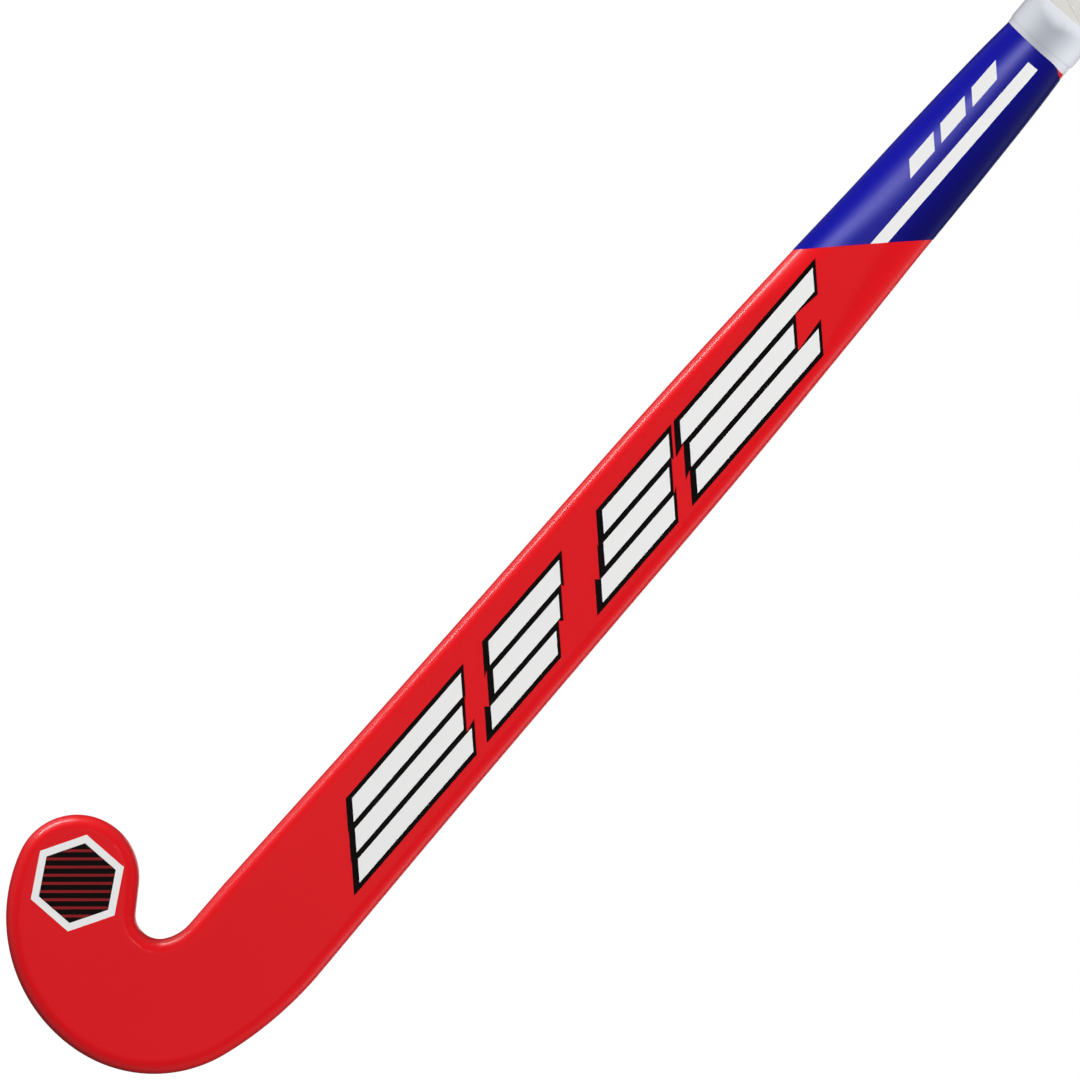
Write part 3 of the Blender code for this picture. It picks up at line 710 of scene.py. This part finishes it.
# ---- Neck marks ----------------------------------------------------------------------------
# A white stripe that runs down the blue neck to the paint line, and three short slanted marks.
STRIPE_EDGES, STRIPE_TOP = (0.0011, 0.0058), 0.5215
NECK_BUILD, NECK_PITCH = COAT_BUILD + WHITE_BUILD, (0.0008, 0.004)
DASH_EDGES, DASHES = (-0.0088, -0.0036), ((0.464, 0.478), (0.482, 0.496), (0.500, 0.514))


def paint_line_height(x):
    (x0, z0), (x1, z1) = PAINT_LINE
    return z0 + (z1 - z0) * (x - x0) / (x1 - x0)


left, right = STRIPE_EDGES
stripe = [(left, paint_line_height(left)), (right, paint_line_height(right)),
          (right, STRIPE_TOP), (left, STRIPE_TOP)]
new_piece("neck_stripe_print", lay_film([stripe], NECK_BUILD, NECK_PITCH), white_print,
          "white_print", "neck_stripe", smooth=30)
for index, ends in enumerate(DASHES):
    film = lay_film([bar_outline(*DASH_EDGES, *ends)], NECK_BUILD, NECK_PITCH)
    new_piece(f"neck_mark_{index + 1}", film, white_print,
              "white_print", f"neck_dash_{index + 1}", smooth=30)


# ---- Binding and underlay ------------------------------------------------------------------
# Waxed twine close-wound over the glued handle, and a soft tape over it. Both are under the
# grip, so they keep the frame's solids and take a wound thread and a foam finish.
def twine_material():
    material, tree, shader = shader_material("waxed_twine", 0.7)
    place = add_node(tree, "ShaderNodeTexCoord")
    turns = add_node(tree, "ShaderNodeTexWave", {"bands_direction": "Z"}, Vector=place.outputs["Object"],
                     Scale=400.0, Distortion=0.4, Detail=2.0)
    toned(tree, shader, turns.outputs["Fac"], (0.34, 0.30, 0.23), (0.62, 0.56, 0.44))
    add_bump(tree, shader, turns.outputs["Fac"], 0.6, 0.0002)
    return material


finish_nodes("handle_binding", twine_material())
underlay_foam = pored_material("underlay_foam", (0.18, 0.18, 0.19), (0.13, 0.13, 0.14), 0.9, 0.0008, 0.4)
finish_nodes("grip_underlay", underlay_foam)


# ---- Grip ----------------------------------------------------------------------------------
# One padded strip of synthetic leather wound from the butt down in a slow spiral. Each turn
# lies over the edge of the turn above it, which leaves a rounded ridge and a sharp crease.
HANDLE_DEPTH = 0.0130
GRIP_RADIUS, OVAL, GRIP_PITCH = 0.0149, 0.9587, 0.030
GRIP_LOW, GRIP_HIGH, FRONT_CREASE = 0.5385, 0.9101, 0.5482
GRIP_WALL, RIDGE = 0.0010, 0.00075
GRIP_SQUEEZE, GRIP_FREED = 0.0004, 0.0075
TURN_STEPS, TURNS_BELOW = 88, 2.25
STRIP_STATIONS = (
    0.0, 0.012, 0.03, 0.07, 0.14, 0.24, 0.36, 0.48, 0.60, 0.70, 0.755, 0.79, 0.82, 0.85,
    0.89, 0.93, 0.96, 0.975, 0.985, 0.993,
)


def on_handle(radius, angle, height):
    """A point round the handle's oval; -90 degrees is the front."""
    return bowed(radius * cos(angle), HANDLE_DEPTH + radius * OVAL * sin(angle), height)


def strip_rise(across):
    """Rise of the strip at a place across one turn, from the crease (0) to its edge (1)."""
    lap = eased((across - 0.74) / 0.10)
    edge = 1 - eased((across - 0.965) / 0.035)
    belly = sin(pi * min(1.0, across / 0.76)) * 0.22
    crease = 0.6 * (1 - eased(min(across, 1 - across) / 0.022))
    return RIDGE * (belly + lap * edge - crease)


def grip_radius(across, height):
    """Outside of the grip, which the finishing tape squeezes thin at its lower end."""
    free = eased((height - GRIP_LOW) / GRIP_FREED)
    return GRIP_RADIUS - GRIP_SQUEEZE * (1 - free) + strip_rise(across) * free


def wound_grip():
    """The strip's outside, wound past both ends of the grip and then cut square to the handle."""
    bm = bmesh.new()
    turns = (GRIP_HIGH - GRIP_LOW) / GRIP_PITCH + 2
    rows = []
    for i in range(int(turns * TURN_STEPS) + 1):
        angle = -tau * i / TURN_STEPS
        start = FRONT_CREASE - GRIP_PITCH * TURNS_BELOW + GRIP_PITCH * i / TURN_STEPS
        row = []
        for across in STRIP_STATIONS:
            height = start + GRIP_PITCH * across
            row.append(bm.verts.new(on_handle(grip_radius(across, height), angle, height)))
        rows.append(row)
    for i, (row, following) in enumerate(zip(rows, rows[1:])):
        for j in range(len(STRIP_STATIONS) - 1):
            bm.faces.new((row[j], following[j], following[j + 1], row[j + 1]))
        if i + 1 + TURN_STEPS < len(rows):
            above, above_following = rows[i + TURN_STEPS], rows[i + 1 + TURN_STEPS]
            bm.faces.new((row[-1], following[-1], above_following[0], above[0]))
    up = (on_handle(0, 0, 0.9) - on_handle(0, 0, 0.8)).normalized()
    for height, way in ((GRIP_LOW, -1), (GRIP_HIGH, 1)):
        cut_through(bm, on_handle(0, 0, height), up * way, clear_outer=True)
    bmesh.ops.recalc_face_normals(bm, faces=bm.faces)
    return bm


cream = pored_material("cream_leather", (0.76, 0.745, 0.71), (0.68, 0.665, 0.625), 0.62, 0.0007, 0.25)
grip = new_piece("wound_grip", wound_grip(), cream, "cream_grip", "grip_wrap", smooth=70)
add_wall(grip, GRIP_WALL)


# ---- Finishing tape ------------------------------------------------------------------------
# Stretched white vinyl, two turns round the bottom of the grip. The upper turn starts a little
# higher, so its edge shows as a faint line above the lower edge.
TAPE_LOW, TAPE_HIGH, TAPE_FILM = 0.5276, 0.5444, 0.00025
TAPE_LEAN, TAPE_SAG = 0.0006, 0.0009
TAPE_STEPS, TAPE_ROUNDS = 96, 48
FLARE, ONTO_GRIP, SECOND_TURN, EDGE_DROP, HOLLOW = 0.00020, 0.00070, 0.00026, 0.00012, 0.00045
CLIMB_LOW, SECOND_TURN_STEP, HOLLOW_HEIGHT, HOLLOW_ANGLE = 0.5392, 0.0019, 0.5350, radians(75)


def tape_radius(height, angle):
    """Outside of the tape: on the lacquer, over the hollow below the grip, then up onto the grip."""
    on_lacquer = half_width(TAPE_LOW) + 0.00030
    flare = FLARE * eased((height - TAPE_LOW) / 0.006)
    onto_grip = ONTO_GRIP * eased((height - CLIMB_LOW) / 0.0055)
    second_turn = SECOND_TURN * eased((height - TAPE_LOW - SECOND_TURN_STEP) / 0.0004)
    edge = EDGE_DROP * eased((height - TAPE_HIGH + 0.0008) / 0.0008)
    dent = eased(1 - abs(height - HOLLOW_HEIGHT) / 0.0050) * max(0.0, cos(angle + HOLLOW_ANGLE))**2
    return on_lacquer + flare + onto_grip + second_turn - edge - HOLLOW * dent


def wound_tape():
    """The tape's outside, whose lower edge leans and sags towards the heel side."""
    bm = bmesh.new()
    rings = []
    for j in range(TAPE_ROUNDS + 1):
        ring = []
        for i in range(TAPE_STEPS):
            angle = tau * i / TAPE_STEPS
            low = TAPE_LOW - TAPE_LEAN * (1 + cos(angle)) / 2 - TAPE_SAG * eased(2 * cos(angle) - 1)
            height = low + (TAPE_HIGH - low) * j / TAPE_ROUNDS
            ring.append(bm.verts.new(on_handle(tape_radius(height, angle), angle, height)))
        rings.append(ring)
    for ring, following in zip(rings, rings[1:]):
        for i in range(TAPE_STEPS):
            k = (i + 1) % TAPE_STEPS
            bm.faces.new((ring[i], ring[k], following[k], following[i]))
    bmesh.ops.recalc_face_normals(bm, faces=bm.faces)
    return bm


def vinyl_material():
    """White tape: grey in the middle of the band below the grip and lighter at its sides and up on the grip,
    which is painted shade and painted light, with the dark lacquer under the thin vinyl greying it a little.
    """
    material, tree, shader = shader_material("white_vinyl", 0.42)
    place = add_node(tree, "ShaderNodeTexCoord")
    split = add_node(tree, "ShaderNodeSeparateXYZ", Vector=place.outputs["Object"])
    film = group_node(tree, LACQUER_FILM, Roughness=0.40, Peel=500.0, Drift=160.0)
    drifted = add_node(tree, "ShaderNodeMath", {"operation": "MULTIPLY_ADD"}, x0=film.outputs["Tone"],
                       x1=0.0030, x2=split.outputs["Z"])
    on_grip = add_node(tree, "ShaderNodeMapRange", {"interpolation_type": "SMOOTHSTEP"},
                       Value=drifted.outputs["Value"], x1=BASE_Z + 0.5375, x2=BASE_Z + 0.5435)
    aside = add_node(tree, "ShaderNodeMath", {"operation": "SUBTRACT"}, x0=split.outputs["X"], x1=SHAFT_X)
    off_centre = add_node(tree, "ShaderNodeMath", {"operation": "ABSOLUTE"}, x0=aside.outputs["Value"])
    # Lighter towards the tape's sides: painted light.
    painted_side_light = add_node(tree, "ShaderNodeMapRange", {"interpolation_type": "SMOOTHSTEP"},
                       Value=off_centre.outputs["Value"], x1=0.0, x2=0.0150)
    grip_and_painted_side_light = add_node(tree, "ShaderNodeMath", {"operation": "MAXIMUM"},
                     x0=on_grip.outputs["Result"], x1=painted_side_light.outputs["Result"])
    # Grey in the middle below the grip, light at the sides and on the grip: painted shade and painted light,
    # partly the dark lacquer through the thin vinyl.
    toned(tree, shader, grip_and_painted_side_light.outputs["Value"], (0.42, 0.445, 0.50), (0.785, 0.81, 0.865))
    tree.links.new(film.outputs["Roughness"], shader.inputs["Roughness"])
    add_bump(tree, shader, film.outputs["Height"], 0.1, 0.0001)
    return material


tape = new_piece("wound_tape", wound_tape(), vinyl_material(), "white_tape", "finishing_tape", smooth=50)
add_wall(tape, TAPE_FILM)


# ---- Butt cap ------------------------------------------------------------------------------
# A soft moulded cap pushed over the end of the handle. The grip covers its skirt, so only the
# flange and the flat end with its shallow dish show.
CAP_TOP, CAP_RADIUS, CAP_FLANGE = 0.9144, 0.0160, 0.0040
CAP_BEND, CAP_HEM, CAP_STEPS = 0.0012, 0.0005, 72
CAP_DISH = ((0.0, 0.0006), (0.0080, 0.0006), (0.0088, 0.0004), (0.0094, 0.0))
SKIRT_OUTSIDE, SKIRT_INSIDE, SKIRT_LOW, POCKET_TOP = 0.0138, 0.0124, 0.8945, 0.9102


def moulded_cap():
    """Turned cap: flat rim, shallow dish, rounded flange, skirt and pocket."""
    profile = [(radius, CAP_TOP - sunk) for radius, sunk in CAP_DISH] + [(CAP_RADIUS - CAP_BEND, CAP_TOP)]
    for i in range(1, 7):
        turn = pi / 2 * i / 6
        profile.append((CAP_RADIUS - CAP_BEND * (1 - sin(turn)), CAP_TOP - CAP_BEND * (1 - cos(turn))))
    flange_low = CAP_TOP - CAP_FLANGE
    profile += [(CAP_RADIUS, flange_low + CAP_HEM), (CAP_RADIUS - CAP_HEM, flange_low),
                (SKIRT_OUTSIDE, flange_low), (SKIRT_OUTSIDE, SKIRT_LOW),
                (SKIRT_INSIDE, SKIRT_LOW), (SKIRT_INSIDE, POCKET_TOP), (0.0, POCKET_TOP)]
    bm = bmesh.new()
    rings = [[bm.verts.new(on_handle(radius, tau * i / CAP_STEPS, height)) for i in range(CAP_STEPS)]
             for radius, height in profile]
    for ring, following in zip(rings, rings[1:]):
        for i in range(CAP_STEPS):
            k = (i + 1) % CAP_STEPS
            bm.faces.new((ring[i], following[i], following[k], ring[k]))
    close_seams(bm)
    return bm


cap_rubber = pored_material("cap_rubber", (0.64, 0.62, 0.57), (0.56, 0.54, 0.49), 0.55, 0.0005, 0.2)
new_piece("moulded_cap", moulded_cap(), cap_rubber, "cap_rubber", "butt_cap", smooth=35)
